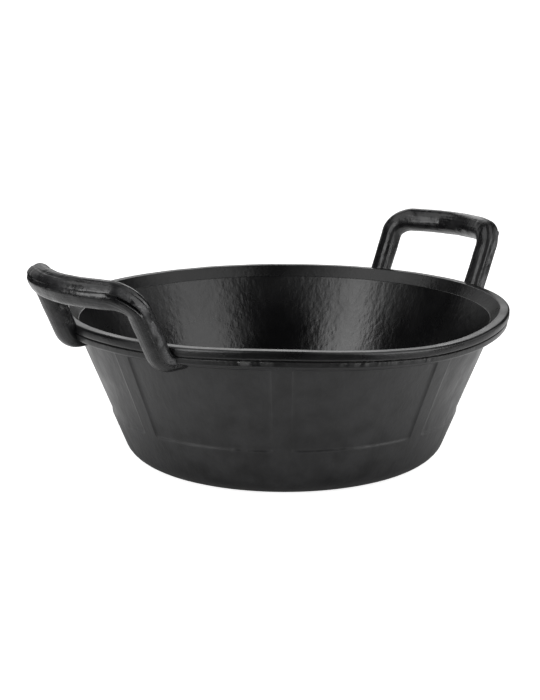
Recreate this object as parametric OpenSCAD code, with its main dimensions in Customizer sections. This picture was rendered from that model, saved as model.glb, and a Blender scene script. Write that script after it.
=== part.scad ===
// Round rubber feed tub with two carrying handles, laid up from rubber pieces and cords and cured in a mould.
// Millimetres, +Z up. The origin is the centre of the base, and the handles lie along X.

/* [Tub] */
// Outside diameter of the rim
rim_d = 420; // [380:1:480]
// Height from the ground to the top of the rim
tub_h = 143; // [125:1:190]
// Distance that the rim stands out past the panels under it
rim_reach = 15; // [12:0.5:20]
// Diameter at which the line of the panels meets the ground
base_d = 290; // [250:1:320]
// Thickness of the wall at the panels
wall_t = 4.5; // [3.5:0.5:7]
// Outside radius of the rounded base edge
foot_r = 22; // [16:1:30]

/* [Floor] */
// Thickness of the floor where it laps the wall's foot
floor_lap_t = 2.2; // [2:0.1:6]
// Width of the turned-in foot of the wall that the floor laps
lap_w = 18; // [10:1:30]
// Rounding of the floor's upper edge
floor_edge_r = 1; // [0.5:0.25:2]

/* [Panels] */
// Number of upright ribs between the panels, one of them under each handle
rib_count = 8; // [4:2:14]
// Width of a rib under the rim
rib_w = 16.5; // [8:0.5:30]
// Height of the ribs and bands over the panels
rib_proud = 1.3; // [0.6:0.1:2]
// Height of the base band below the panels
band_h = 41; // [32:1:60]
// Height of the slope from the base band to a panel
shoulder_h = 2.5; // [2:0.5:10]
// Height of the narrow band between the panels and the rim
top_band_h = 1.5; // [1:0.5:6]

/* [Rim] */
// Height of the rim's outside
rim_h = 16.5; // [15:0.5:24]
// Width of the flat on top of the rim
land_w = 9; // [8:0.5:14]
// Height of the flared lip inside the rim
lip_h = 11; // [9:0.5:14]
// Rounding of the rim's upper outer edge
bead_r = 3.5; // [1:0.25:4]
// Depth below the top at which the groove runs round the rim
groove_drop = 9; // [8:0.5:10]
// Width of the groove
groove_w = 3; // [1.5:0.25:4]
// Depth of the groove
groove_d = 1.8; // [0.8:0.1:3]
// Distance that the bead below the groove stands back
lower_inset = 1.3; // [0.5:0.1:2]
// Rounding of the rim's lower edge
lower_r = 2.2; // [0.5:0.1:2.5]
// Thickness of the tongue of wall held in the rim
tongue_t = 2.8; // [2:0.2:3.4]
// Diameter of the cord laid in the rim
rim_cord_d = 5; // [4:0.25:5.5]

/* [Handles] */
// Distance between the middles of a handle's legs
handle_w = 126; // [100:1:150]
// Height of the bar's middle over the rim, along the leaning legs
handle_h = 52; // [45:1:75]
// Angle by which the handles lean outwards
handle_lean = 25; // [10:1:35]
// Distance that the bar bows outwards at its middle
handle_bow = 23; // [5:1:30]
// Distance from the rim's outside in to the leg middles, along X and at rim level
handle_inset = 2; // [-2:0.5:6]
// Thickness of the bar
bar_d = 24; // [18:0.5:28]
// Thickness of the legs
leg_d = 20.5; // [16:0.5:24]
// Radius of the bar's corners, at the middle of the rubber
corner_r = 15; // [14:1:24]
// Depth of the feet's middle below the top of the rim
foot_drop = 12.5; // [8:0.5:16]
// Height of the ridge left along the mould's parting line
flash_h = 0.8; // [0.4:0.1:1.2]
// Width of that ridge
flash_w = 2.4; // [1.5:0.1:4]
// Diameter of the cord laid in a handle
handle_cord_d = 8; // [5:0.5:10]

/* [Hidden] */
$fn = 96;

rubber = "#2a2a2b";
rubber_dark = "#202021";
cord_white = "#d8d2c4";

// Steps in a rounded corner of an outline
arc_steps = 6;
// Sides of a handle's cord, and the angle between the points of a handle's own section
cord_sides = 10;
section_step = 15;
// Exponent of the handle's section: 2 is round, and more is squarer
section_power = 2.4;
// Rings in each stretch of half a handle
elbow_rings = 5;
leg_rings = 3;
corner_rings = 7;
bar_rings = 6;
// Clearance round the cord in the rim
cord_fit = 0.4;
// Thickness of rubber between the lip and the tongue
lip_t = 3;
// Rounding of the rim's inner edge, and of the groove's edges
lip_r = 1.5;
groove_r = 0.6;
// Least radius on the inside of a handle's elbows
elbow_clear = 1.2;

rim_r = rim_d / 2;
neck_r = rim_r - rim_reach;
neck_z = tub_h - rim_h;
lean_slope = (neck_r - base_d / 2) / neck_z;
lean_cos = cos(atan(lean_slope));
foot_t = wall_t + rib_proud;
floor_t = foot_t + floor_lap_t;
crease_z = tub_h - lip_h;
panel_low = band_h + shoulder_h;
panel_high = neck_z - top_band_h;
rib_pitch = 360 / rib_count;
rib_half = atan(rib_w / 2 / neck_r);

// Radius of the panels, of the ribs and bands, and of the inside, at a height
function panel_at(z) = base_d / 2 + lean_slope * z;
function rib_at(z) = panel_at(z) + rib_proud / lean_cos;
function inside_at(z) = panel_at(z) - wall_t / lean_cos;

function unit(v) = v / norm(v);
function mixed(a, b, share) = a + (b - a) * share;

// Points of an outline given as [x, y, rounding]: a rounded corner becomes an arc
function rounded(corners) = [
    for (i = [0 : len(corners) - 1])
        let (
            n = len(corners),
            here = [corners[i].x, corners[i].y],
            back = [corners[(i + n - 1) % n].x, corners[(i + n - 1) % n].y],
            next = [corners[(i + 1) % n].x, corners[(i + 1) % n].y]
        )
        each corner_arc(back, here, next, corners[i].z)
];

function corner_arc(back, here, next, r) = r == 0 ? [here] :
    let (
        to_back = unit(back - here),
        to_next = unit(next - here),
        half = acos(to_back * to_next) / 2,
        middle = here + unit(to_back + to_next) * r / sin(half),
        start = here + to_back * r / tan(half) - middle,
        end = here + to_next * r / tan(half) - middle,
        sweep = 180 - 2 * half
    )
    [for (k = [0 : arc_steps]) let (a = sweep * k / arc_steps)
        middle + (start * sin(sweep - a) + end * sin(a)) / sin(sweep)];

// The wall's flat foot reaches in from the start of the rounded base edge
foot_start = rib_at(foot_r) - foot_r / lean_cos;
foot_in = foot_start - lap_w;

// The lip runs from the crease inside the wall to the inner edge of the rim's flat top
crease = [inside_at(crease_z), crease_z];
lip_top = [rim_r - land_w, tub_h];
lip_up = unit(lip_top - crease);
lip_out = [lip_up.y, -lip_up.x];
neck = [rib_at(neck_z), neck_z];

// The tongue lies between the rim's two legs, along the lip, with the rim's cord above its edge
tongue_l = norm(lip_top - crease) - rim_cord_d - lip_t / 2;
tongue_root = crease + lip_out * lip_t;
tongue_in = tongue_root + lip_up * tongue_l;
tongue_out = tongue_in + lip_out * tongue_t;
cord_at = (tongue_in + tongue_out) / 2 + lip_up * (rim_cord_d / 2 + cord_fit);

function flat(p) = [p.x, p.y, 0];

rim_outside = [
    [rim_r, tub_h, bead_r],
    [rim_r, tub_h - groove_drop + groove_w / 2, groove_r],
    [rim_r - groove_d, tub_h - groove_drop, groove_r],
    [rim_r - lower_inset, tub_h - groove_drop - groove_w / 2, groove_r],
    [rim_r - lower_inset, neck_z, lower_r]
];

module revolved(corners) {
    rotate_extrude() polygon(rounded(corners));
}

// Floor: a disc whose edge laps the turned-in foot of the wall
module floor_disc() {
    color(rubber_dark) revolved([
        [0, 0, 0],
        [foot_in, 0, 0],
        [foot_in, foot_t, 0],
        [foot_start, foot_t, 0],
        [foot_start, floor_t, floor_edge_r],
        [0, floor_t, 0]
    ]);
}

// Wall: rounded foot, base band, ribs between sunk panels, and the tongue that the rim grips
module tub_wall() {
    color(rubber) difference() {
        revolved([
            [foot_in, 0, 0],
            [rib_at(0), 0, foot_r],
            flat(neck),
            flat(tongue_out),
            flat(tongue_in),
            flat(tongue_root),
            flat(crease),
            [inside_at(foot_t), foot_t, foot_r - foot_t],
            [foot_in, foot_t, 0]
        ]);
        for (i = [0 : rib_count - 1]) rotate(i * rib_pitch + rib_half) panel_pocket();
    }
}

// Pocket for one panel, from rib to rib, whose lower edge slopes out to the base band and runs on past it
module panel_pocket() {
    foot = [panel_at(panel_low), panel_low];
    shoulder = [rib_at(band_h), band_h] - foot;
    rotate_extrude(angle = rib_pitch - 2 * rib_half) polygon([
        foot,
        foot + 2 * shoulder,
        [rib_at(panel_high) + rib_proud, panel_high],
        [panel_at(panel_high), panel_high]
    ]);
}

// Rim: a grooved bead folded over the edge of the wall, with a round seat for its cord
module rim_bead() {
    seat_d = rim_cord_d + 2 * cord_fit;
    seat_reach = lip_up * (cord_fit + rim_cord_d / 2);
    color(rubber_dark) rotate_extrude() difference() {
        polygon(rounded(concat(
            [flat(crease), [lip_top.x, lip_top.y, lip_r]],
            rim_outside,
            [for (p = [neck, tongue_out, tongue_out + seat_reach, tongue_in + seat_reach, tongue_root]) flat(p)]
        )));
        translate(cord_at) circle(d = seat_d);
    }
}

module rim_cord() {
    color(cord_white) rotate_extrude() translate(cord_at) circle(d = rim_cord_d);
}

// Everything that the rim and the wall enclose, which the handles' feet are seated against
module tub_mass() {
    revolved(concat(
        [[0, 0, 0], [panel_at(0), 0, 0]],
        [[panel_at(panel_high), panel_high, 0], [rib_at(panel_high), panel_high, 0], flat(neck)],
        [for (i = [len(rim_outside) - 1 : -1 : 0]) rim_outside[i]],
        [[0, tub_h, 0]]
    ));
}

// A handle's middle line, for the handle on the +X side: where it crosses the level of the rim's top
handle_x = rim_r - handle_inset;
foot_z = tub_h - foot_drop;
elbow_r = leg_d / 2 + flash_h + elbow_clear;
elbow_turn = 90 - handle_lean;
elbow_reach = elbow_r * tan(elbow_turn / 2);
elbow_corner_x = handle_x - foot_drop * tan(handle_lean);
// A foot's hidden end lies inside the wall
foot_reach = sqrt(pow(panel_at(foot_z - leg_d / 2), 2) - pow((handle_w + leg_d) / 2, 2)) - wall_t;

// A point of the loop, from its place across the handle and its height along the lean
function loop_at(y, s) = [
    handle_x + s * sin(handle_lean) + handle_bow * (1 - pow(2 * y / handle_w, 2)),
    y,
    tub_h + s * cos(handle_lean)
];

// The elbow's middle line turns from straight outwards to the lean of the leg
function elbow_at(turn) = [
    elbow_corner_x - elbow_reach + elbow_r * sin(turn),
    handle_w / 2,
    foot_z + elbow_r * (1 - cos(turn))
];

// Half of a handle's middle line as [point, share of the way from leg to bar thickness]
function half_loop() = concat(
    [[[foot_reach, handle_w / 2, foot_z], 0]],
    [for (k = [0 : elbow_rings]) [elbow_at(elbow_turn * k / elbow_rings), 0]],
    [for (k = [1 : leg_rings]) [loop_at(handle_w / 2, (handle_h - corner_r) * k / leg_rings), 0]],
    [for (k = [1 : corner_rings]) let (t = 90 * k / corner_rings)
        [loop_at(handle_w / 2 - corner_r * (1 - cos(t)), handle_h - corner_r * (1 - sin(t))), k / corner_rings]],
    [for (k = [1 : bar_rings]) [loop_at((handle_w / 2 - corner_r) * (1 - k / bar_rings), handle_h), 1]]
);

function mirrored(p) = [p.x, -p.y, p.z];

function whole_loop() = let (half = half_loop()) concat(
    half,
    [for (i = [len(half) - 2 : -1 : 0]) [mirrored(half[i][0]), half[i][1]]]
);

loop = whole_loop();
loop_points = [for (p = loop) p[0]];
loop_radii = [for (p = loop) mixed(leg_d, bar_d, p[1]) / 2];

// A handle's section as [angle, height of the parting ridge], with the ridges in the plane of the loop
flash_half = atan(flash_w / bar_d);
section = concat(
    [for (side = [0, 180]) each concat(
        [for (a = [0 : section_step : 90 - section_step]) [side + a, 0]],
        [[side + 90 - flash_half, 0], [side + 90, flash_h], [side + 90 + flash_half, 0]],
        [for (a = [90 + section_step : section_step : 180 - section_step]) [side + a, 0]]
    )]
);

function squircle(a) = pow(pow(abs(cos(a)), section_power) + pow(abs(sin(a)), section_power), -1 / section_power);

function handle_section(r) = [for (s = section) (r * squircle(s[0]) + s[1]) * [cos(s[0]), sin(s[0])]];
function cord_section(r) = [for (k = [0 : cord_sides - 1]) let (a = 360 * k / cord_sides) r * [cos(a), sin(a)]];

// Sweep of one section for each point of the middle line, square to the line
module swept(points, sections) {
    sides = len(sections[0]);
    last = len(points) - 1;
    loop_face = [cos(handle_lean), 0, -sin(handle_lean)];
    rings = [for (i = [0 : last])
        let (
            along = unit(points[min(i + 1, last)] - points[max(i - 1, 0)]),
            out = unit(loop_face - along * (loop_face * along)),
            across = cross(along, out)
        )
        for (p = sections[i]) points[i] + out * p.x + across * p.y];
    polyhedron(rings, concat(
        [[for (j = [0 : sides - 1]) j]],
        [for (i = [0 : last - 1], j = [0 : sides - 1])
            let (a = i * sides + j, b = i * sides + (j + 1) % sides)
            each [[a, b + sides, b], [a, a + sides, b + sides]]],
        [[for (j = [sides - 1 : -1 : 0]) last * sides + j]]
    ));
}

module handle_core() {
    swept(loop_points, [for (r = loop_radii) cord_section(handle_cord_d / 2)]);
}

// Handle: a bowed bar on two leaning legs, whose feet turn in under the rim and sit against rim and wall
module handle() {
    color(rubber_dark) difference() {
        swept(loop_points, [for (r = loop_radii) handle_section(r)]);
        handle_core();
        tub_mass();
    }
}

// Cord inside a handle, whose ends are gripped between the feet and the rim
module handle_cord() {
    color(cord_white) difference() {
        handle_core();
        tub_mass();
    }
}

module left_handle() { rotate(180) handle(); }
module left_handle_cord() { rotate(180) handle_cord(); }
module right_handle() { handle(); }
module right_handle_cord() { handle_cord(); }

floor_disc();
tub_wall();
rim_bead();
rim_cord();
left_handle();
left_handle_cord();
right_handle();
right_handle_cord();
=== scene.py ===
"""Looks of a black rubber feed tub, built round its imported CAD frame.

Everything is in metres in the frame's own axes: +Z is up, the origin is the centre of the base, and the two
handles lie along X. Sizes are written in millimetres, as in the part's source, and turned to metres where
meshes are made.
"""

import logging
import math
from collections.abc import Sequence
from dataclasses import dataclass, field
from enum import Enum
from functools import partial

import bmesh
import bpy
from bmesh.types import BMEdge, BMesh, BMVert
from mathutils import Matrix, Vector, noise

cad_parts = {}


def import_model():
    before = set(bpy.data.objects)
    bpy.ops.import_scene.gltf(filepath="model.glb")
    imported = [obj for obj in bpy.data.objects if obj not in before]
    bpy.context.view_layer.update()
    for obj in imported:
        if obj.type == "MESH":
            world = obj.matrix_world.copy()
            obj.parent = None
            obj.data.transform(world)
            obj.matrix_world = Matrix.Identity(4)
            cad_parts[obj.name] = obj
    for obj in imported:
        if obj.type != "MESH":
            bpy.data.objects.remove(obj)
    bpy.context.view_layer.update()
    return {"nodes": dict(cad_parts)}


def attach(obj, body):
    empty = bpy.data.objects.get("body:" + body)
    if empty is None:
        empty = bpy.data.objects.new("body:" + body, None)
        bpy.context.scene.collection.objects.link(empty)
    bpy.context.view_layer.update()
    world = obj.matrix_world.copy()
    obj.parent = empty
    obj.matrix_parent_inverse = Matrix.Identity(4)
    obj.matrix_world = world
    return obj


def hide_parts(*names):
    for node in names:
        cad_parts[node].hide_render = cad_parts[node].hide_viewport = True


LOG = logging.getLogger("feed_tub")
MM = 0.001
BODY = "root"
UP = Vector((0.0, 0.0, 1.0))
# Edges that turn by more than this are shaded as sharp.
SHARP_TURN = math.radians(40.0)
# Vertices of a spun mesh that lie closer together than this are merged.
MERGE_MM = 0.002
# A ring that is alike all round is spun as one of so many sectors.
SECTORS = 8
SECTOR_DEG = 360.0 / SECTORS
# Spacing of a diagonal wave texture's bands at a scale of one, in metres.
WAVE_PERIOD = math.tau / (10.0 * math.sqrt(3.0))
# Numbers of a Mix node's two colour inputs and of its colour output.
MIX_FIRST, MIX_SECOND, MIX_RESULT = 6, 7, 2
RANGE_INPUTS = ("Value", "From Min", "From Max", "To Min", "To Max")

# A corner of an outline: distance from the tub's axis, height and rounding, in millimetres.
Corner = tuple[float, float, float]
# A turn of a spun outline: degrees and the number of steps in it.
Turn = tuple[float, int]
# Two values that belong together, such as the ends of a range.
Pair = tuple[float, float]


class Side(Enum):
    """The two handles, by the turn that carries the +X handle to its place."""

    RIGHT = 0.0
    LEFT = 180.0

    @property
    def node(self) -> str:
        """Name of the CAD node of this handle."""
        return f"{self.name.lower()}_handle"


class Skin(Enum):
    """Material slots of the wall's and the rim's mesh."""

    OUTSIDE = 0
    INSIDE = 1


def linear(colour: str) -> tuple[float, float, float, float]:
    """Turns an sRGB colour into the linear one that shaders take, by the standard's own formula.

    Args:
        colour: the colour as "#rrggbb".

    Returns:
        Red, green, blue and an alpha of one.
    """
    parts = [int(colour[i : i + 2], 16) / 255 for i in (1, 3, 5)]
    red, green, blue = (c / 12.92 if c <= 0.04045 else ((c + 0.055) / 1.055) ** 2.4 for c in parts)
    return red, green, blue, 1.0


def per_metre(spacing_mm: float) -> float:
    """Texture scale at which a pattern repeats about every so many millimetres."""
    return 1.0 / (spacing_mm * MM)


def empty_tree(owner: bpy.types.Material | bpy.types.World) -> bpy.types.NodeTree:
    """Turns on the nodes of a material or world and clears them.

    Args:
        owner: the new material or world.

    Returns:
        Its empty node tree.
    """
    owner.use_nodes = True
    owner.node_tree.nodes.clear()
    return owner.node_tree


def add_node(
    tree: bpy.types.NodeTree, kind: str, inputs: dict[str | int, object] | None = None, **settings: object
) -> bpy.types.Node:
    """Adds a node with its settings, and sets or links its inputs.

    Args:
        tree: the node tree to add to.
        kind: the node's type, such as "ShaderNodeBump".
        inputs: value or linked output for each named or numbered input.
        **settings: the node's own properties.

    Returns:
        The new node.
    """
    made = tree.nodes.new(kind)
    for name, value in settings.items():
        setattr(made, name, value)
    for name, value in (inputs or {}).items():
        if isinstance(value, bpy.types.NodeSocket):
            tree.links.new(value, made.inputs[name])
        else:
            made.inputs[name].default_value = value
    return made


def smooth_step(low: float, high: float, value: float) -> float:
    """Rises smoothly from 0 at low to 1 at high."""
    t = min(max((value - low) / (high - low), 0.0), 1.0)
    return t * t * (3.0 - 2.0 * t)


def hill(value: float, middle: float, half: float) -> float:
    """Bell of height 1 at middle that falls to about a third at half to each side."""
    return math.exp(-(((value - middle) / half) ** 2))


def ripple(place: Vector, spacing_mm: float) -> float:
    """Smooth noise between -1 and 1 at a place in metres, with bumps about so many millimetres apart."""
    return noise.noise(place * per_metre(spacing_mm))


def direction(azimuth: float, elevation: float) -> Vector:
    """Unit vector towards an azimuth and an elevation in degrees."""
    a, e = math.radians(azimuth), math.radians(elevation)
    return Vector((math.cos(a) * math.cos(e), math.sin(a) * math.cos(e), math.sin(e)))


@dataclass(frozen=True)
class RubberFinish:
    """Moulded vulcanised rubber: near black, with a soft sheen that sharpens towards the edge of the view.

    The mould leaves a fine peel on it and the cure faint dull clouds, which break up its reflections. Real
    peel and torn grit are too fine to show in the render, so they are drawn as coarse as they need to be.
    """

    name: str
    colour: str = "#0d0d0e"
    bloom: str = "#131314"
    glossy: float = 0.34
    dull: float = 0.46
    cloud_mm: float = 45.0
    # Cloud noise over which colour turns to bloom and glossy to dull.
    cloud_range: Pair = (0.35, 0.65)
    peel_mm: float = 2.6
    peel_depth_mm: float = 0.10
    wave_mm: float = 26.0
    wave_depth_mm: float = 0.4
    # How far peel and waves are drawn out upwards.
    upright: float = 1.0
    # Torn flash: colour, added roughness, and spacing and depth of its grit.
    trim: str = "#5c5c5b"
    flash_rough: float = 0.0
    grit_mm: float = 1.6
    grit_depth_mm: float = 0.0
    # Roughness added at the top, and the heights over which it sets in.
    top_dull: float = 0.0
    top_range_mm: Pair = (60.0, 130.0)
    ior: float = 1.52

    def material(self) -> bpy.types.Material:
        """Builds the material.

        Returns:
            The node material under this finish's name.
        """
        made = bpy.data.materials.new(self.name)
        add = partial(add_node, empty_tree(made))
        place = add("ShaderNodeTexCoord").outputs["Object"]
        height = add("ShaderNodeSeparateXYZ", {"Vector": place}).outputs["Z"]
        flash = add("ShaderNodeAttribute", attribute_name="flash").outputs["Fac"]
        stretch = (1.0, 1.0, 1.0 / self.upright)
        drawn = add("ShaderNodeMapping", {"Vector": place, "Scale": stretch}).outputs["Vector"]
        patterns = [(place, self.cloud_mm, 4.0), (drawn, self.wave_mm, 1.0), (drawn, self.peel_mm, 2.0)]
        if self.grit_depth_mm:
            patterns.append((place, self.grit_mm, 3.0))
        cloud, wave, peel, *grit = (
            add("ShaderNodeTexNoise", {"Vector": at, "Scale": per_metre(mm), "Detail": detail}).outputs["Fac"]
            for at, mm, detail in patterns
        )
        low, high = self.top_range_mm
        bloomed, cured, topped = (
            add("ShaderNodeMapRange", dict(zip(RANGE_INPUTS, (value, *span, *ends)))).outputs["Result"]
            for value, span, ends in (
                (cloud, self.cloud_range, (0.0, 1.0)),
                (cloud, self.cloud_range, (self.glossy, self.dull)),
                (height, (low * MM, high * MM), (0.0, self.top_dull)),
            )
        )
        torn_rough = add("ShaderNodeMath", {0: flash, 1: self.flash_rough}, operation="MULTIPLY").outputs[0]
        roughness = cured
        for more in (topped, torn_rough):
            roughness = add("ShaderNodeMath", {0: roughness, 1: more}, operation="ADD").outputs[0]
        tone = linear(self.colour)
        torn = [add("ShaderNodeMath", {0: g, 1: flash}, operation="MULTIPLY").outputs[0] for g in grit]
        for share, colour in zip((bloomed, *torn), (self.bloom, self.trim)):
            inputs = {"Factor": share, MIX_FIRST: tone, MIX_SECOND: linear(colour)}
            tone = add("ShaderNodeMix", inputs, data_type="RGBA").outputs[MIX_RESULT]
        surface = {"Base Color": tone, "Roughness": roughness, "IOR": self.ior}
        depths = (self.wave_depth_mm, self.peel_depth_mm, self.grit_depth_mm)
        for relief, depth in zip((wave, peel, *torn), depths):
            inputs = {"Height": relief, "Distance": depth * MM, "Strength": 1.0}
            if "Normal" in surface:
                inputs["Normal"] = surface["Normal"]
            surface["Normal"] = add("ShaderNodeBump", inputs).outputs["Normal"]
        shader = add("ShaderNodeBsdfPrincipled", surface)
        add("ShaderNodeOutputMaterial", {"Surface": shader.outputs["BSDF"]})
        return made


@dataclass(frozen=True)
class CordFinish:
    """Twisted polyester cord: off-white, dull, with slanting strands that show as soft diagonal bands, with
    painted shade in the hollows between them.
    """

    name: str = "twisted_polyester_cord"
    colour: str = "#cfc8b8"
    # Colour of the hollows between the strands: painted shade.
    hollow_shade: str = "#8d8678"
    strand_mm: float = 3.0
    strand_depth_mm: float = 0.3
    # How far and how finely the bands stray.
    stray: float = 1.5
    stray_detail: float = 2.0
    roughness: float = 0.85

    def material(self) -> bpy.types.Material:
        """Builds the material.

        Returns:
            The node material under this finish's name.
        """
        made = bpy.data.materials.new(self.name)
        add = partial(add_node, empty_tree(made))
        bands = {
            "Vector": add("ShaderNodeTexCoord").outputs["Object"],
            "Scale": WAVE_PERIOD * per_metre(self.strand_mm),
            "Distortion": self.stray,
            "Detail": self.stray_detail,
        }
        strands = add("ShaderNodeTexWave", bands, bands_direction="DIAGONAL").outputs["Fac"]
        # The strands' low places, the hollows, take the painted shade colour.
        tones = {"Factor": strands, MIX_FIRST: linear(self.hollow_shade), MIX_SECOND: linear(self.colour)}
        tone = add("ShaderNodeMix", tones, data_type="RGBA").outputs[MIX_RESULT]
        relief = {"Height": strands, "Distance": self.strand_depth_mm * MM}
        normal = add("ShaderNodeBump", relief).outputs["Normal"]
        surface = {"Base Color": tone, "Roughness": self.roughness, "Normal": normal}
        shader = add("ShaderNodeBsdfPrincipled", surface)
        add("ShaderNodeOutputMaterial", {"Surface": shader.outputs["BSDF"]})
        return made


# A finish that a piece can have.
Finish = RubberFinish | CordFinish


@dataclass(frozen=True)
class TubShape:
    """Sizes that the pieces share, in millimetres."""

    rim_r: float = 210.0
    tub_h: float = 143.0
    rim_reach: float = 15.0
    base_r: float = 145.0
    wall_t: float = 4.5
    foot_r: float = 22.0
    floor_lap_t: float = 2.2
    lap_w: float = 18.0
    rib_proud: float = 1.3
    rim_h: float = 16.5
    land_w: float = 9.0
    lip_h: float = 11.0
    # Rises and sags of the rim: angle round the tub, half width in degrees and height.
    sags: Sequence[tuple[float, float, float]] = ((223.0, 13.0, 1.3), (267.0, 25.0, -5.5))

    @property
    def neck_z(self) -> float:
        """Height of the rim's underside."""
        return self.tub_h - self.rim_h

    @property
    def crease_z(self) -> float:
        """Height of the crease where the lip inside the rim begins."""
        return self.tub_h - self.lip_h

    @property
    def land_r(self) -> float:
        """Radius of the inner edge of the rim's flat top."""
        return self.rim_r - self.land_w

    @property
    def slope(self) -> float:
        """Distance that the wall runs out for each millimetre of height."""
        return (self.rim_r - self.rim_reach - self.base_r) / self.neck_z

    @property
    def lean_cos(self) -> float:
        """Cosine of the wall's lean."""
        return math.cos(math.atan(self.slope))

    @property
    def foot_t(self) -> float:
        """Thickness of the wall's turned-in foot."""
        return self.wall_t + self.rib_proud

    @property
    def foot_start(self) -> float:
        """Radius at which the flat foot meets the rounded base edge."""
        return self.rib_at(self.foot_r) - self.foot_r / self.lean_cos

    def panel_at(self, z: float) -> float:
        """Outside radius of the sunk panels at a height."""
        return self.base_r + self.slope * z

    def rib_at(self, z: float) -> float:
        """Outside radius of the ribs and bands at a height."""
        return self.panel_at(z) + self.rib_proud / self.lean_cos

    def inside_at(self, z: float) -> float:
        """Inside radius of the wall at a height, or of the lip above the crease."""
        wall_r = self.panel_at(min(z, self.crease_z)) - self.wall_t / self.lean_cos
        return wall_r + (self.land_r - wall_r) * max(z - self.crease_z, 0.0) / self.lip_h


def draw_outline(bm: BMesh, corners: Sequence[Corner], closed: bool = True, arc_steps: int = 6) -> None:
    """Draws a profile in the XZ plane as a wire, and rounds its corners.

    Args:
        bm: the mesh to draw in.
        corners: the profile's corners in order.
        closed: whether the last corner is joined to the first.
        arc_steps: segments in a rounded corner.
    """
    verts = [bm.verts.new((x * MM, 0.0, z * MM)) for x, z, _ in corners]
    ends = verts[1:] + verts[:1] if closed else verts[1:]
    for pair in zip(verts, ends):
        bm.edges.new(pair)
    points = [Vector((x, z)) for x, z, _ in corners]
    for i, (vert, (_, _, radius)) in enumerate(zip(verts, corners)):
        if radius:
            back = points[i - 1] - points[i]
            ahead = points[(i + 1) % len(points)] - points[i]
            offset = radius * MM / math.tan(back.angle(ahead) / 2)
            plain = {"offset_type": "OFFSET", "affect": "VERTICES", "profile": 0.5, "clamp_overlap": False}
            bmesh.ops.bevel(bm, geom=[vert], offset=offset, segments=arc_steps, material=-1, **plain)


def spin_round(bm: BMesh, turns: Sequence[Turn], copies: int = SECTORS) -> None:
    """Spins the wire in a mesh through a part of the circle, copies that part round and closes the ring.

    Args:
        bm: the mesh that holds the wire.
        turns: the stretches of one part, with their steps.
        copies: number of such parts in the full circle.
    """
    axis = {"axis": UP, "cent": (0.0, 0.0, 0.0)}
    geom = bm.verts[:] + bm.edges[:]
    for degrees, steps in turns:
        angle = math.radians(degrees)
        spun = bmesh.ops.spin(bm, geom=geom, angle=angle, steps=steps, use_merge=False, **axis)
        geom = spun["geom_last"]
    whole = bm.verts[:] + bm.edges[:] + bm.faces[:]
    rest = math.tau * (copies - 1) / copies
    bmesh.ops.spin(bm, geom=whole, angle=rest, steps=copies - 1, use_duplicate=True, **axis)
    bmesh.ops.remove_doubles(bm, verts=bm.verts[:], dist=MERGE_MM * MM)
    bmesh.ops.recalc_face_normals(bm, faces=bm.faces[:])
    bm.normal_update()


def ring_place(vert: BMVert) -> tuple[float, float, float]:
    """Radius and height of a vertex in millimetres, and its angle in degrees."""
    x, y, z = vert.co / MM
    return math.hypot(x, y), z, math.degrees(math.atan2(y, x))


def push_out(vert: BMVert, distance_mm: float) -> None:
    """Moves a vertex straight away from the tub's axis."""
    radial = Vector((vert.co.x, vert.co.y, 0.0))
    vert.co += radial.normalized() * (distance_mm * MM)


def settle(bm: BMesh, shape: TubShape) -> None:
    """Lets a piece follow the soft tub's sags and rises, fully at the rim's top and not at all at the base.

    Args:
        bm: the piece's mesh.
        shape: the tub's sizes and sags.
    """
    for vert in bm.verts:
        _, z, degrees = ring_place(vert)
        share = (z / shape.tub_h) ** 2
        for place, half, height in shape.sags:
            off = (degrees - place + 180.0) % 360.0 - 180.0
            vert.co.z += share * height * hill(off, 0.0, half) * MM


def as_object(bm: BMesh, name: str, materials: Sequence[bpy.types.Material]) -> bpy.types.Object:
    """Turns a mesh into a smooth-shaded object at the origin.

    Args:
        bm: the finished mesh, which is freed.
        name: the object's name.
        materials: the object's materials in slot order.

    Returns:
        The new object, linked to the scene.
    """
    for face in bm.faces:
        face.smooth = True
    for edge in bm.edges:
        edge.smooth = not edge.is_manifold or edge.calc_face_angle() < SHARP_TURN
    mesh = bpy.data.meshes.new(name)
    bm.to_mesh(mesh)
    bm.free()
    for material in materials:
        mesh.materials.append(material)
    made = bpy.data.objects.new(name, mesh)
    bpy.context.scene.collection.objects.link(made)
    return made


def seat(bm: BMesh, name: str, finishes: Sequence[Finish], node: str) -> None:
    """Turns a mesh into a piece with its finishes, and puts it on the tub's body in place of its CAD node.

    Args:
        bm: the piece's finished mesh.
        name: the piece's name.
        finishes: the piece's finishes in slot order.
        node: the CAD node that it stands for.
    """
    piece = as_object(bm, name, [finish.material() for finish in finishes])
    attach(piece, BODY)
    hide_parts(node)
    LOG.info("%s: %d faces", name, len(piece.data.polygons))


@dataclass
class FloorDisc:
    """The floor: a disc that laps the wall's foot, with a soft upper edge."""

    shape: TubShape
    edge_r: float = 2.0
    # Rings on the disc's top, as shares of its radius, and steps in a sector.
    ring_shares: Sequence[float] = (0.85, 0.6, 0.35, 0.12)
    steps: int = 30
    finish: RubberFinish = RubberFinish(
        "moulded_rubber_floor", glossy=0.36, dull=0.5, peel_mm=3.0, peel_depth_mm=0.16
    )

    def build(self) -> BMesh:
        """Spins the disc's outline.

        Returns:
            The disc's mesh.
        """
        s = self.shape
        inner = s.foot_start - s.lap_w
        top = s.foot_t + s.floor_lap_t
        bm = bmesh.new()
        corners = [
            (0.0, 0.0, 0.0),
            (inner, 0.0, 0.0),
            (inner, s.foot_t, 0.0),
            (s.foot_start, s.foot_t, 0.0),
            (s.foot_start, top, self.edge_r),
            *((s.foot_start * share, top, 0.0) for share in self.ring_shares),
            (0.0, top, 0.0),
        ]
        draw_outline(bm, corners, closed=False)
        spin_round(bm, [(SECTOR_DEG, self.steps)])
        return bm

    def dress(self) -> None:
        """Builds the floor and gives it its finish."""
        seat(self.build(), "floor", [self.finish], "floor_disc")


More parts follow.
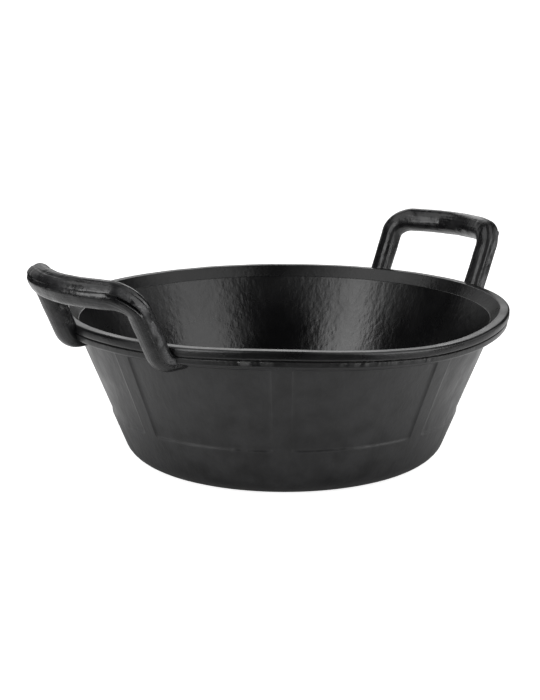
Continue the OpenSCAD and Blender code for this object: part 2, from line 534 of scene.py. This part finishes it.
@dataclass
class TubWall:
    """The wall: rounded foot, base band, and sunk panels with soft corners between upright ribs."""

    shape: TubShape
    rib_count: int = 8
    rib_w: float = 16.5
    band_h: float = 44.0
    top_band_h: float = 1.5
    # Slopes at a panel's sides and top, and the gentler one at its foot.
    edge_w: float = 2.2
    ledge_w: float = 4.2
    panel_corner_r: float = 3.0
    # Steps round half a rib, a rib's edge and a panel, and the angle of that edge.
    turn_steps: tuple[int, int, int] = (3, 8, 44)
    edge_deg: float = 0.9
    # Rings on the base band, steps up a panel's foot, top edge and middle, and rings at an edge, in steps.
    band_rings: Sequence[float] = (22.0, 30.0, 36.0)
    ledge_steps: int = 8
    edge_steps: int = 6
    panel_steps: int = 14
    edge_rings: range = range(-2, 11)
    inside_low: float = 30.0
    inside_steps: int = 10
    foot_steps: int = 8
    # How near the ribs' cone a vertex of the outside lies, and how far the normal of an inside face rises.
    on_cone: float = 0.05
    inside_rise: float = 0.2
    outside: RubberFinish = RubberFinish(
        "moulded_rubber_satin_outside", colour="#060607", bloom="#232324", cloud_mm=20.0,
        peel_mm=5.0, peel_depth_mm=0.35, upright=2.0, wave_mm=24.0, wave_depth_mm=1.1,
    )
    inside: RubberFinish = RubberFinish(
        "moulded_rubber_glossy_inside", colour="#0a0a0b", bloom="#0e0e0f", glossy=0.16, dull=0.26,
        peel_mm=5.0, peel_depth_mm=0.36, upright=1.7, wave_mm=16.0, wave_depth_mm=0.3,
        top_dull=0.12,
    )

    @property
    def rib_half(self) -> float:
        """Half the angle of a rib, in degrees."""
        return math.degrees(math.atan(self.rib_w / 2 / (self.shape.rim_r - self.shape.rim_reach)))

    @property
    def panel_top(self) -> float:
        """Height of the panels' upper edge."""
        return self.shape.neck_z - self.top_band_h

    def levels(self) -> list[float]:
        """Heights of the rings on the outside, close together where a panel's edges are.

        Returns:
            The heights from the base band up to the rim.
        """
        low = [self.band_h + k * self.ledge_w / self.ledge_steps for k in self.edge_rings]
        high = [self.panel_top - k * self.edge_w / self.edge_steps for k in reversed(self.edge_rings)]
        between = high[0] - low[-1]
        middle = [low[-1] + between * k / self.panel_steps for k in range(1, self.panel_steps)]
        return [*self.band_rings, *low, *middle, *high]

    def turns(self) -> list[Turn]:
        """Stretches of the spin from rib to rib, with fine steps at the ribs' edges.

        Returns:
            The turns, which start and end at the middle of a rib.
        """
        rib_steps, edge_steps, panel_steps = self.turn_steps
        flat = self.rib_half - self.edge_deg / 2
        panel = 360.0 / self.rib_count - 2 * (self.rib_half + self.edge_deg / 2)
        half_rib = [(flat, rib_steps), (self.edge_deg, edge_steps)]
        return [*half_rib, (panel, panel_steps), *reversed(half_rib)]

    def panel_depth(self, z: float, degrees: float) -> float:
        """How far the outside is sunk at a place, from 0 on ribs and bands to 1 on a panel.

        Args:
            z: height in millimetres.
            degrees: angle round the tub.

        Returns:
            The share of the panels' full depth.
        """
        s = self.shape
        pitch = 360.0 / self.rib_count
        off_middle = abs((degrees % pitch) - pitch / 2)
        half_w = math.radians(pitch / 2 - self.rib_half) * s.rib_at(z)
        across = math.radians(off_middle) * s.rib_at(z) - half_w
        along = max((self.band_h - z) * self.edge_w / self.ledge_w, z - self.panel_top) / s.lean_cos
        corner = self.panel_corner_r
        qx, qz = across + corner, along + corner
        beyond = math.hypot(max(qx, 0.0), max(qz, 0.0)) + min(max(qx, qz), 0.0) - corner
        return smooth_step(0.0, self.edge_w, -beyond)

    def build(self) -> BMesh:
        """Spins the wall and sinks its panels.

        Returns:
            The wall's mesh, with its inside faces in their own material slot.
        """
        s = self.shape
        foot_in = s.foot_start - s.lap_w
        drop = s.crease_z - self.inside_low
        inner = [s.crease_z - drop * k / self.inside_steps for k in range(1, self.inside_steps)]
        bm = bmesh.new()
        corners = [
            (foot_in, 0.0, 0.0),
            (s.rib_at(0.0), 0.0, s.foot_r),
            *((s.rib_at(z), z, 0.0) for z in self.levels()),
            (s.rib_at(s.neck_z), s.neck_z, 0.0),
            (s.inside_at(s.crease_z), s.crease_z, 0.0),
            *((s.inside_at(z), z, 0.0) for z in inner),
            (s.inside_at(s.foot_t), s.foot_t, s.foot_r - s.foot_t),
            (foot_in, s.foot_t, 0.0),
        ]
        draw_outline(bm, corners, arc_steps=self.foot_steps)
        spin_round(bm, self.turns(), self.rib_count)
        full = s.rib_proud / s.lean_cos
        for vert in bm.verts:
            r, z, degrees = ring_place(vert)
            if z > s.foot_r and abs(r - s.rib_at(z)) < self.on_cone:
                push_out(vert, -full * self.panel_depth(z, degrees))
        bm.normal_update()
        for face in bm.faces:
            middle = face.calc_center_median()
            faces_in = face.normal.dot(Vector((middle.x, middle.y, 0.0))) < 0.0
            if face.normal.z > self.inside_rise or faces_in:
                face.material_index = Skin.INSIDE.value
        settle(bm, s)
        return bm

    def dress(self) -> None:
        """Builds the wall and gives it its two finishes."""
        seat(self.build(), "wall", [self.outside, self.inside], "tub_wall")


@dataclass
class RimBead:
    """The rim: flared lip, flat top, grooved bead and the torn flash that the mould leaves in the groove."""

    shape: TubShape
    lip_r: float = 1.5
    crease_h: float = 0.3
    bead_r: float = 2.2
    bead_under_r: float = 1.8
    groove_drop: float = 8.4
    groove_w: float = 1.7
    groove_d: float = 3.2
    groove_r: float = 0.4
    lower_inset: float = 1.3
    lower_r: float = 2.2
    under_rise: float = 1.7
    under_r: float = 1.0
    steps: int = 150
    # Flash on the groove's edges: height, half width and the upper edge's share.
    flash_h: float = 1.3
    flash_half: float = 0.7
    upper_share: float = 0.5
    # Spacing of coarse and fine tears, and the fine ones' share.
    tear_mm: Pair = (4.4, 2.3)
    fine_share: float = 0.6
    # Where the mould's edge tore the rim most: azimuth and half width in degrees.
    torn_at: Sequence[Pair] = (
        (25.0, 6.0), (95.0, 5.0), (150.0, 3.0), (218.0, 4.0), (246.0, 7.0), (260.0, 3.0),
        (310.0, 5.0),
    )
    # Least tear and roughness elsewhere, and the tear that is fully rough.
    least_torn: float = 0.15
    least_rough: float = 0.2
    full_tear: float = 0.4
    # Slow waves along the rim.
    sway_h: float = 0.25
    sway_mm: float = 30.0
    outside: RubberFinish = RubberFinish(
        "moulded_rubber_rim", glossy=0.26, dull=0.38, peel_mm=2.2, peel_depth_mm=0.16,
        flash_rough=0.2, grit_depth_mm=0.6,
    )
    inside: RubberFinish = RubberFinish(
        "moulded_rubber_glossy_lip", colour="#0a0a0b", bloom="#0e0e0f", glossy=0.24, dull=0.34,
        peel_mm=3.6, peel_depth_mm=0.16, wave_mm=16.0, wave_depth_mm=0.2,
    )

    @property
    def groove_ends(self) -> Pair:
        """Heights of the groove's lower and upper edge."""
        middle = self.shape.tub_h - self.groove_drop
        return middle - self.groove_w / 2, middle + self.groove_w / 2

    def build(self) -> BMesh:
        """Spins the rim and tears its flash.

        Returns:
            The rim's mesh, with a flash attribute along the groove.
        """
        s = self.shape
        lower_z, upper_z = self.groove_ends
        lower_r = s.rim_r - self.lower_inset
        crease_end = s.crease_z + 2 * self.crease_h
        bm = bmesh.new()
        bm.verts.layers.float.new("flash")
        corners = [
            (s.inside_at(s.crease_z), s.crease_z, 0.0),
            (s.inside_at(s.crease_z) - self.crease_h, s.crease_z + self.crease_h, self.groove_r),
            (s.inside_at(crease_end), crease_end, self.groove_r),
            (s.land_r, s.tub_h, self.lip_r),
            (s.rim_r, s.tub_h, self.bead_r),
            (s.rim_r, upper_z, self.bead_under_r),
            (s.rim_r - self.groove_d, upper_z - self.groove_w / 4, self.groove_r),
            (lower_r, lower_z, self.groove_r),
            (lower_r - self.groove_r, s.neck_z + self.under_rise, self.lower_r),
            (s.rib_at(s.neck_z) + self.under_rise, s.neck_z + self.under_rise, self.under_r),
            (s.rib_at(s.neck_z), s.neck_z, 0.0),
        ]
        draw_outline(bm, corners)
        spin_round(bm, [(SECTOR_DEG, self.steps)])
        self.tear(bm)
        for face in bm.faces:
            middle = face.calc_center_median()
            if math.hypot(middle.x, middle.y) < s.land_r * MM and face.normal.z > 0.0:
                face.material_index = Skin.INSIDE.value
        settle(bm, s)
        bm.normal_update()
        return bm

    def tear(self, bm: BMesh) -> None:
        """Tears the groove's edges and marks what is torn in the flash attribute.

        Args:
            bm: the rim's spun mesh.
        """
        flash = bm.verts.layers.float["flash"]
        lower_z, upper_z = self.groove_ends
        coarse_mm, fine_mm = self.tear_mm
        for vert in bm.verts:
            r, z, azimuth = ring_place(vert)
            if r < self.shape.land_r:
                continue
            patch = max(hill(azimuth % 360.0, middle, half) for middle, half in self.torn_at)
            torn = ripple(vert.co, coarse_mm) + self.fine_share * ripple(vert.co, fine_mm)
            edge = hill(z, lower_z, self.flash_half) + self.upper_share * hill(z, upper_z, self.flash_half)
            push_out(vert, self.flash_h * edge * (self.least_torn + patch) * torn)
            vert[flash] = edge * (self.least_rough + patch * smooth_step(0.0, self.full_tear, torn))
            vert.co.z += self.sway_h * MM * ripple(vert.co, self.sway_mm)

    def dress(self) -> None:
        """Builds the rim and gives it its two finishes."""
        seat(self.build(), "rim", [self.outside, self.inside], "rim_bead")


@dataclass
class LoopHandle:
    """A handle: a bowed bar on two leaning legs, whose feet turn in under the rim."""

    side: Side
    shape: TubShape
    half_width: float = 63.0
    rise: float = 52.0
    lean: float = 25.0
    bow: float = 23.0
    inset: float = 2.0
    bar_r: float = 12.0
    leg_r: float = 10.25
    corner_r: float = 15.0
    foot_drop: float = 12.5
    foot_run: float = 8.0
    foot_cover: float = 2.4
    elbow_clear: float = 2.0
    section_power: float = 2.4
    section_sides: int = 160
    inner_share: float = 0.88
    under_share: float = 0.94
    # Vertex layers: flash, degrees from the loop's outside, ring along it, and share of the way to the bar.
    layers: Sequence[str] = ("flash", "off_loop", "ring", "on_bar")
    # Trimmed strip: half width, shift on the bar and soft edge in degrees, height, and flash lost on the bar.
    strip_half: float = 19.0
    strip_shift: float = 25.0
    strip_edge: Pair = (2.0, -6.0)
    strip_h: float = 0.3
    bar_loss: float = 0.85
    # Creases beside it: depth on leg, corner and bar, and near and far edge in degrees from the strip.
    crease_d: tuple[float, float, float] = (0.9, 3.2, 0.35)
    crease_edge: Pair = (-1.0, 4.0)
    crease_w: float = 17.0
    # Size and spacing of the strip's wandering, whose sizes are in degrees, and of the dents.
    wander: Sequence[Pair] = ((3.0, 20.0), (1.5, 6.0))
    dent: Pair = (0.3, 14.0)
    # Flash on the strip: height, spacing of tears and patches, and softness of a patch's edge.
    flash_h: float = 0.5
    tear_mm: float = 2.8
    patch_mm: float = 7.0
    patch_soft: float = 0.35
    # Moulding nub at a corner: height, half width and place on a unit section.
    nub_h: float = 1.8
    nub_half: float = 2.2
    nub_at: tuple[float, float, float] = (0.25, 1.0, 0.0)
    # Streaks: height, and spacing in degrees round the section and in rings along the loop.
    streak_h: float = 0.15
    streak_deg: float = 9.0
    streak_rings: float = 20.0
    steps: dict[str, int] = field(default_factory=lambda: {"elbow": 12, "leg": 18, "corner": 26, "bar": 36})
    # Bend of the soft loops: height at the middle of the bar, and how much higher its +Y end goes.
    lift: dict[Side, float] = field(default_factory=lambda: {Side.LEFT: -1.0, Side.RIGHT: 1.2})
    tilt: dict[Side, float] = field(default_factory=lambda: {Side.LEFT: 1.5, Side.RIGHT: 0.8})
    finish: RubberFinish = RubberFinish(
        "moulded_rubber_handle", colour="#131314", bloom="#202021", glossy=0.22, dull=0.34,
        cloud_mm=16.0, peel_mm=2.8, peel_depth_mm=0.24, wave_mm=10.0, wave_depth_mm=0.65,
        trim="#6c6c6d", flash_rough=0.14, grit_depth_mm=0.9,
    )

    def loop_at(self, y: float, up: float) -> Vector:
        """A point of the loop's middle line on the +X side.

        Args:
            y: place across the handle.
            up: height over the rim's top, along the lean.

        Returns:
            The point in millimetres.
        """
        lean = math.radians(self.lean)
        out = self.bow * (1.0 - (y / self.half_width) ** 2)
        x = self.shape.rim_r - self.inset + up * math.sin(lean) + out
        return Vector((x, y, self.shape.tub_h + up * math.cos(lean)))

    def half_line(self) -> list[tuple[Vector, float]]:
        """Middle line from a foot to the middle of the bar.

        Returns:
            Points in millimetres, each with its share of the way from leg to bar thickness.
        """
        lean = math.radians(self.lean)
        turn = math.pi / 2 - lean
        elbow_r = self.leg_r + self.elbow_clear
        foot_z = self.shape.tub_h - self.foot_drop
        corner_x = self.shape.rim_r - self.inset - self.foot_drop * math.tan(lean)
        start_x = corner_x - elbow_r * math.tan(turn / 2)
        n = self.steps
        foot = (start_x - self.foot_run, start_x - self.foot_run / 2)
        line = [(Vector((x, self.half_width, foot_z)), 0.0) for x in foot]
        for k in range(n["elbow"] + 1):
            a = turn * k / n["elbow"]
            x, z = start_x + elbow_r * math.sin(a), foot_z + elbow_r * (1 - math.cos(a))
            line.append((Vector((x, self.half_width, z)), 0.0))
        for k in range(1, n["leg"] + 1):
            line.append((self.loop_at(self.half_width, (self.rise - self.corner_r) * k / n["leg"]), 0.0))
        for k in range(1, n["corner"] + 1):
            a = math.pi / 2 * k / n["corner"]
            y = self.half_width - self.corner_r * (1 - math.cos(a))
            line.append((self.loop_at(y, self.rise - self.corner_r * (1 - math.sin(a))), k / n["corner"]))
        for k in range(1, n["bar"] + 1):
            y = (self.half_width - self.corner_r) * (1 - k / n["bar"])
            line.append((self.loop_at(y, self.rise), 1.0))
        return line

    def rings(self) -> list[tuple[Matrix, float]]:
        """Places of the sections along the whole handle.

        Returns:
            A matrix for each section, which carries a unit section in the XY plane to its place in metres,
            and its share of the way from leg to bar.
        """
        half = self.half_line()
        line = half + [(Vector((p.x, -p.y, p.z)), share) for p, share in reversed(half[:-1])]
        lean = math.radians(self.lean)
        face = Vector((math.cos(lean), 0.0, -math.sin(lean)))
        places = []
        for i, (point, share) in enumerate(line):
            along = (line[min(i + 1, len(line) - 1)][0] - line[max(i - 1, 0)][0]).normalized()
            out = (face - along * face.dot(along)).normalized()
            across = along.cross(out)
            size = (self.leg_r + (self.bar_r - self.leg_r) * share) * MM
            turned = Matrix((out * size, across * size, along * size)).transposed().to_4x4()
            places.append((Matrix.Translation(point * MM) @ turned, share))
        return places

    def build(self) -> BMesh:
        """Sweeps the section from foot to foot, turns the loop to its side, bends it and roughens its skin.

        Returns:
            The handle's mesh, with a flash attribute along its trimmed strip.
        """
        bm = bmesh.new()
        for name in self.layers:
            bm.verts.layers.float.new(name)
        places = self.rings()
        self.sweep(bm, places)
        corner = len(places) // 2 - self.steps["bar"] - self.steps["corner"] // 2
        nub = places[-1 - corner][0] @ Vector(self.nub_at)
        for vert in bm.verts:
            share = hill((vert.co - nub).length / MM, 0.0, self.nub_half)
            vert.co += vert.normal * (self.nub_h * share * MM)
        turn = Matrix.Rotation(math.radians(self.side.value), 4, "Z")
        bmesh.ops.transform(bm, matrix=turn, verts=bm.verts[:])
        top = self.rise * math.cos(math.radians(self.lean))
        for vert in bm.verts:
            bend = self.lift[self.side] + self.tilt[self.side] * vert.co.y / (self.half_width * MM)
            vert.co.z += bend * smooth_step(0.0, top, vert.co.z / MM - self.shape.tub_h) * MM
        bm.normal_update()
        self.roughen(bm)
        settle(bm, self.shape)
        bm.normal_update()
        return bm

    def sweep(self, bm: BMesh, places: Sequence[tuple[Matrix, float]]) -> None:
        """Extrudes the section along the loop, seats its feet and closes their ends.

        Args:
            bm: the empty mesh, with layers for a vertex's place on section and loop.
            places: the places of the sections.
        """
        _, off_loop, ring, on_bar = (bm.verts.layers.float[name] for name in self.layers)
        first = bmesh.ops.create_circle(bm, segments=self.section_sides, radius=1.0)["verts"]
        power = self.section_power
        for vert in first:
            a = math.atan2(vert.co.y, vert.co.x)
            vert.co *= (abs(math.cos(a)) ** power + abs(math.sin(a)) ** power) ** (-1.0 / power)
            vert.co.x *= self.inner_share if vert.co.x < 0.0 else 1.0
            vert.co.y *= self.under_share if vert.co.y < 0.0 else 1.0
            vert[off_loop] = (90.0 - math.degrees(a) + 180.0) % 360.0 - 180.0
        bmesh.ops.transform(bm, matrix=places[0][0], verts=first)
        edges: list[BMEdge] = bm.edges[:]
        section: list[BMVert] = first
        for number, ((here, _), (ahead, share)) in enumerate(zip(places, places[1:]), start=1):
            made = bmesh.ops.extrude_edge_only(bm, edges=edges)["geom"]
            section = [e for e in made if isinstance(e, BMVert)]
            for vert in section:
                vert[ring], vert[on_bar] = number, share
            fresh = set(section)
            edges = [e for e in made if isinstance(e, BMEdge) and fresh.issuperset(e.verts)]
            bmesh.ops.transform(bm, matrix=ahead @ here.inverted(), verts=section)
        for vert in (*first, *section):
            # The ends are slid along X until they lie inside the wall or rim.
            radius = (self.shape.inside_at(vert.co.z / MM) + self.foot_cover) * MM
            vert.co.x = math.sqrt(radius**2 - vert.co.y**2)
        bmesh.ops.holes_fill(bm, edges=bm.edges[:], sides=0)
        bmesh.ops.recalc_face_normals(bm, faces=bm.faces[:])
        bm.normal_update()

    def roughen(self, bm: BMesh) -> None:
        """Gives the loop its trimmed strip, creases, dents and streaks.

        Args:
            bm: the bent mesh with its layers, of which flash is filled in.
        """
        depth, spacing = self.dent
        flash, off_loop, ring, on_bar = (bm.verts.layers.float[name] for name in self.layers)
        for vert in bm.verts:
            stray = sum(degrees * ripple(vert.co, mm) for degrees, mm in self.wander)
            height, trimmed = self.relief(vert[off_loop] + stray, vert[on_bar])
            patch = smooth_step(-self.patch_soft, self.patch_soft, ripple(vert.co, self.patch_mm))
            vert[flash] = trimmed * patch
            dent = depth * ripple(vert.co, spacing)
            torn = self.flash_h * vert[flash] * ripple(vert.co, self.tear_mm)
            across, along = vert[off_loop] / self.streak_deg, vert[ring] / self.streak_rings
            streak = self.streak_h * noise.noise(Vector((across, along, self.side.value)))
            vert.co += vert.normal * ((height + dent + torn + streak) * MM)

    def relief(self, off: float, on_bar: float) -> tuple[float, float]:
        """Relief of the trimmed moulding strip and the creases beside it.

        Args:
            off: degrees from the loop's outside, towards the outer face.
            on_bar: share of the way from leg to bar. The strip lies nearer the outer face on the bar, and the
                crease on that side is deepest at the corners between. The other crease ends there.

        Returns:
            Height over the plain section in millimetres, and the share of rough trimmed rubber.
        """
        side = (off - self.strip_shift * on_bar + 180.0) % 360.0 - 180.0
        past = abs(side) - self.strip_half
        strip = smooth_step(*self.strip_edge, past)
        begin, deepest = self.crease_edge
        crease = smooth_step(begin, deepest, past) * smooth_step(self.crease_w, deepest, past)
        leg, corner, bar = self.crease_d
        depth = leg * (1.0 - on_bar)
        if side > 0.0:
            # One half way round the corner, and nothing on the leg and the bar.
            at_corner = 4.0 * on_bar * (1.0 - on_bar)
            depth += bar * on_bar + (corner - leg) * at_corner
        return self.strip_h * strip - depth * crease, strip * (1.0 - self.bar_loss * on_bar)

    def dress(self) -> None:
        """Builds the handle and gives it its finish."""
        seat(self.build(), self.side.node + "_rubber", [self.finish], self.side.node)


@dataclass
class RimCord:
    """The cord inside the rim: three strands twisted together, closed into a ring."""

    shape: TubShape
    finish: CordFinish = CordFinish()
    # Radius and height of the ring's middle line.
    middle: Pair = (202.1, 137.5)
    radius: float = 2.3
    strands: int = 3
    strand_h: float = 0.2
    twists: int = 90
    sides: int = 18
    steps: int = 135

    def build(self) -> BMesh:
        """Spins the ring and twists its strands.

        Returns:
            The cord's mesh.
        """
        r0, z0 = self.middle
        bm = bmesh.new()
        round_it = [math.tau * k / self.sides for k in range(self.sides)]
        corners = [(r0 + self.radius * math.cos(a), z0 + self.radius * math.sin(a), 0.0) for a in round_it]
        draw_outline(bm, corners)
        spin_round(bm, [(SECTOR_DEG, self.steps)])
        for vert in bm.verts:
            r, z, degrees = ring_place(vert)
            turned = math.atan2(z - z0, r - r0) - math.radians(degrees) * self.twists
            swell = self.strand_h / self.radius * math.cos(self.strands * turned)
            push_out(vert, (r - r0) * swell)
            vert.co.z += (z - z0) * swell * MM
        settle(bm, self.shape)
        return bm

    def dress(self) -> None:
        """Builds the cord and gives it its finish."""
        seat(self.build(), "cord", [self.finish], "rim_cord")


@dataclass
class HandleCords:
    """The cords inside the handles, which stay as the CAD made them."""

    nodes: dict[str, bpy.types.Object]
    names: Sequence[str] = ("left_handle_cord", "right_handle_cord")
    finish: CordFinish = CordFinish("twisted_polyester_handle_cord")

    def dress(self) -> None:
        """Gives the cords their finish."""
        material = self.finish.material()
        for name in self.names:
            mesh = self.nodes[name].data
            mesh.materials.clear()
            mesh.materials.append(material)
            LOG.info("%s: kept from the CAD", name)


@dataclass(frozen=True)
class SoftBox:
    """A studio light: a white panel that faces the tub, placed by its angle from the camera."""

    name: str
    azimuth: float
    elevation: float
    distance: float
    width: float
    height: float
    power: float

    def build(self, camera_azimuth: float, target: Vector) -> None:
        """Hangs the light.

        Args:
            camera_azimuth: direction of the camera seen from the tub, in degrees.
            target: the point that the panel faces.
        """
        away = direction(camera_azimuth + self.azimuth, self.elevation)
        lamp = bpy.data.lights.new(f"softbox_{self.name}", "AREA")
        lamp.shape = "RECTANGLE"
        lamp.size, lamp.size_y, lamp.energy = self.width, self.height, self.power
        made = bpy.data.objects.new(lamp.name, lamp)
        made.location = target + away * self.distance
        made.rotation_euler = away.to_track_quat("Z", "Y").to_euler()
        made.visible_camera = False
        bpy.context.scene.collection.objects.link(made)


@dataclass
class Studio:
    """Camera at the photograph's place, pale floor and backdrop, and soft lights. Sizes are in metres."""

    # The photograph's size, and its fitted camera: focal length, a point with its pixel, and the way to it.
    image: tuple[int, int] = (540, 700)
    focal_px: float = 1402.0
    target: Vector = field(default_factory=lambda: Vector((0.0, 0.0, 0.0672)))
    target_px: Pair = (284.2, 379.1)
    distance: float = 1.3406
    azimuth: float = 225.6
    elevation: float = 14.46
    sensor: float = 36.0
    clip_end: float = 60.0
    floor_half: float = 14.0
    backdrop_reach: float = 3.4
    backdrop_rise: float = 3.0
    backdrop_deg: float = 60.0
    backdrop_steps: int = 48
    # Paper: colour, its colour in reflections, dark so that they see only its painted glow, glow near the
    # tub, and the distance at which that is full.
    paper: str = "#ececec"
    paper_mirrored: str = "#0c0c0c"
    paper_glow: float = 0.85
    full_glow_at: float = 2.0
    # Where the painted glow that reflections see fades out: to the sides, to the front, and far off up to a
    # height.
    side_glow_fade: Pair = (0.8, 1.6)
    front_glow_fade: Pair = (0.2, 0.55)
    far_glow_fade: Pair = (0.7, 1.0)
    far_glow_rise: Pair = (0.5, 0.9)
    # Painted shade on the reflected glow round the tub: where it is deepest, where it ends, and what it
    # leaves.
    contact_shade: tuple[float, float, float] = (0.13, 0.26, 0.1)
    white: str = "#ffffff"
    room: str = "#262627"
    # Name, azimuth from the camera, elevation, distance, width, height and power of each light.
    lights: Sequence[SoftBox] = (
        SoftBox("right", 62.0, 24.0, 2.0, 1.45, 1.75, 16.0),
        SoftBox("right_core", 60.0, 8.0, 1.95, 0.9, 0.7, 6.0),
        SoftBox("right_side", 108.0, 12.0, 2.0, 1.1, 0.9, 2.6),
        SoftBox("right_high", 85.0, 62.0, 2.1, 2.0, 1.0, 6.5),
        SoftBox("left", -48.0, 24.0, 2.0, 1.0, 1.75, 14.0),
        SoftBox("left_edge", -48.0, 24.0, 2.02, 1.36, 1.75, 5.4),
        SoftBox("left_core", -48.0, 13.0, 1.95, 0.8, 0.9, 4.5),
        SoftBox("left_high", -85.0, 62.0, 2.1, 2.0, 1.0, 8.0),
        SoftBox("left_back", -147.0, 15.0, 2.2, 0.9, 1.2, 1.5),
        SoftBox("back", 180.0, 34.0, 2.2, 1.1, 1.5, 3.6),
    )

    def build_camera(self) -> None:
        """Puts the camera where the photograph was taken from, panned so that the tub lies as it did."""
        away = direction(self.azimuth, self.elevation)
        right = self.target_px[0] - self.image[0] / 2
        below = self.target_px[1] - self.image[1] / 2
        pan = math.atan2(right, self.focal_px)
        tilt = math.atan2(below, math.hypot(self.focal_px, right))
        data = bpy.data.cameras.new("camera")
        data.sensor_fit = "AUTO"
        data.sensor_width = self.sensor
        data.lens = self.focal_px / max(self.image) * self.sensor
        data.clip_end = self.clip_end
        camera = bpy.data.objects.new("camera", data)
        turned = (-away).to_track_quat("-Z", "Y").to_matrix().to_4x4()
        turned = turned @ Matrix.Rotation(tilt, 4, "X") @ Matrix.Rotation(pan, 4, "Y")
        camera.matrix_world = Matrix.Translation(self.target + away * self.distance) @ turned
        bpy.context.scene.collection.objects.link(camera)
        bpy.context.scene.camera = camera

    def sweep_material(self) -> bpy.types.Material:
        """White paper of the floor and backdrop, which the camera sees as white and reflections see as a
        painted glow.

        Returns:
            The paper's material. A part of it stays plain diffuse, so that it keeps the tub's shadow.
        """
        made = bpy.data.materials.new("white_studio_paper")
        add = partial(add_node, empty_tree(made))
        rays = add("ShaderNodeLightPath").outputs
        place = add("ShaderNodeTexCoord").outputs["Object"]
        height = add("ShaderNodeSeparateXYZ", {"Vector": place}).outputs["Z"]
        away = add("ShaderNodeVectorMath", {0: place}, operation="LENGTH").outputs["Value"]
        front = direction(self.azimuth, 0.0)
        ahead, aside = (
            add("ShaderNodeVectorMath", {0: place, 1: axis}, operation="DOT_PRODUCT").outputs["Value"]
            for axis in (front, UP.cross(front))
        )
        across = add("ShaderNodeMath", {0: aside}, operation="ABSOLUTE").outputs[0]
        close, clear, deepest = self.contact_shade
        beyond, far_faded, low, outside, shade, glow = (
            add("ShaderNodeMapRange", dict(zip(RANGE_INPUTS, (value, *span, *ends)))).outputs["Result"]
            for value, span, ends in (
                (ahead, self.front_glow_fade, (0.0, 1.0)),
                (away, self.far_glow_fade, (0.0, 1.0)),
                (height, self.far_glow_rise, (1.0, 0.0)),
                (across, self.side_glow_fade, (0.0, 1.0)),
                (away, (close, clear), (deepest, 1.0)),
                (away, (clear, self.full_glow_at), (self.paper_glow, 1.0)),
            )
        )
        # Painted fall-off: where the paper's glow in reflections fades to dark.
        unlit = add("ShaderNodeMath", {0: far_faded, 1: low}, operation="MULTIPLY").outputs[0]
        for more in (beyond, outside):
            unlit = add("ShaderNodeMath", {0: unlit, 1: more}, operation="MAXIMUM").outputs[0]
        lit = add("ShaderNodeMath", {0: 1.0, 1: unlit}, operation="SUBTRACT").outputs[0]
        mirrors = {0: rays["Is Glossy Ray"], 1: rays["Is Transmission Ray"]}
        mirrored = add("ShaderNodeMath", mirrors, operation="MAXIMUM").outputs[0]
        # Painted light and shade: the glow that reflections see, faded out and dimmed by painted shade round
        # the tub.
        reflected = mirrored
        for share in (lit, shade):
            reflected = add("ShaderNodeMath", {0: reflected, 1: share}, operation="MULTIPLY").outputs[0]
        filmed = add("ShaderNodeMath", {0: rays["Is Camera Ray"], 1: glow}, operation="MULTIPLY").outputs[0]
        strength = add("ShaderNodeMath", {0: filmed, 1: reflected}, operation="MAXIMUM").outputs[0]
        # Reflections see the paper dark, so that only its painted glow shows in them.
        tones = {MIX_FIRST: linear(self.paper), MIX_SECOND: linear(self.paper_mirrored)}
        colour = add("ShaderNodeMix", {"Factor": mirrored, **tones}, data_type="RGBA").outputs[MIX_RESULT]
        paper = add("ShaderNodeBsdfDiffuse", {"Color": colour})
        shining = add("ShaderNodeEmission", {"Color": linear(self.white), "Strength": strength})
        both = add("ShaderNodeAddShader", {0: paper.outputs[0], 1: shining.outputs[0]})
        add("ShaderNodeOutputMaterial", {"Surface": both.outputs[0]})
        return made

    def build_sweep(self) -> None:
        """Lays the floor and stands a curved backdrop behind the tub."""
        material = self.sweep_material()
        floor = bmesh.new()
        bmesh.ops.create_grid(floor, x_segments=1, y_segments=1, size=self.floor_half)
        wall = bmesh.new()
        foot = direction(self.azimuth + 180.0 - self.backdrop_deg / 2, 0.0) * self.backdrop_reach
        post = wall.edges.new([wall.verts.new(foot), wall.verts.new(foot + UP * self.backdrop_rise)])
        turn = {"axis": UP, "cent": (0.0, 0.0, 0.0), "angle": math.radians(self.backdrop_deg)}
        bmesh.ops.spin(wall, geom=[*post.verts, post], steps=self.backdrop_steps, use_merge=False, **turn)
        for bm, name in ((floor, "studio_floor"), (wall, "studio_backdrop")):
            as_object(bm, name, [material])

    def build_world(self) -> None:
        """Surrounds the studio with white for the camera and a dim room for everything else."""
        world = bpy.data.worlds.new("studio_room")
        bpy.context.scene.world = world
        add = partial(add_node, empty_tree(world))
        filmed = add("ShaderNodeLightPath").outputs["Is Camera Ray"]
        room, white = (
            add("ShaderNodeBackground", {"Color": linear(colour), "Strength": 1.0}).outputs[0]
            for colour in (self.room, self.white)
        )
        mixed = add("ShaderNodeMixShader", {0: filmed, 1: room, 2: white})
        add("ShaderNodeOutputWorld", {"Surface": mixed.outputs[0]})

    def build(self) -> None:
        """Sets up camera, floor, backdrop, world, lights and the plain view transform."""
        self.build_camera()
        self.build_sweep()
        self.build_world()
        for light in self.lights:
            light.build(self.azimuth, self.target)
        bpy.context.scene.view_settings.view_transform = "Standard"


def main() -> None:
    """Loads the frame, dresses every piece and sets up the studio."""
    logging.basicConfig(level=logging.INFO, format="%(name)s: %(message)s")
    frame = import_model()
    shape = TubShape()
    Studio().build()
    FloorDisc(shape).dress()
    TubWall(shape).dress()
    RimBead(shape).dress()
    for side in Side:
        LoopHandle(side, shape).dress()
    RimCord(shape).dress()
    HandleCords(frame["nodes"]).dress()


if __name__ == "__main__":
    main()
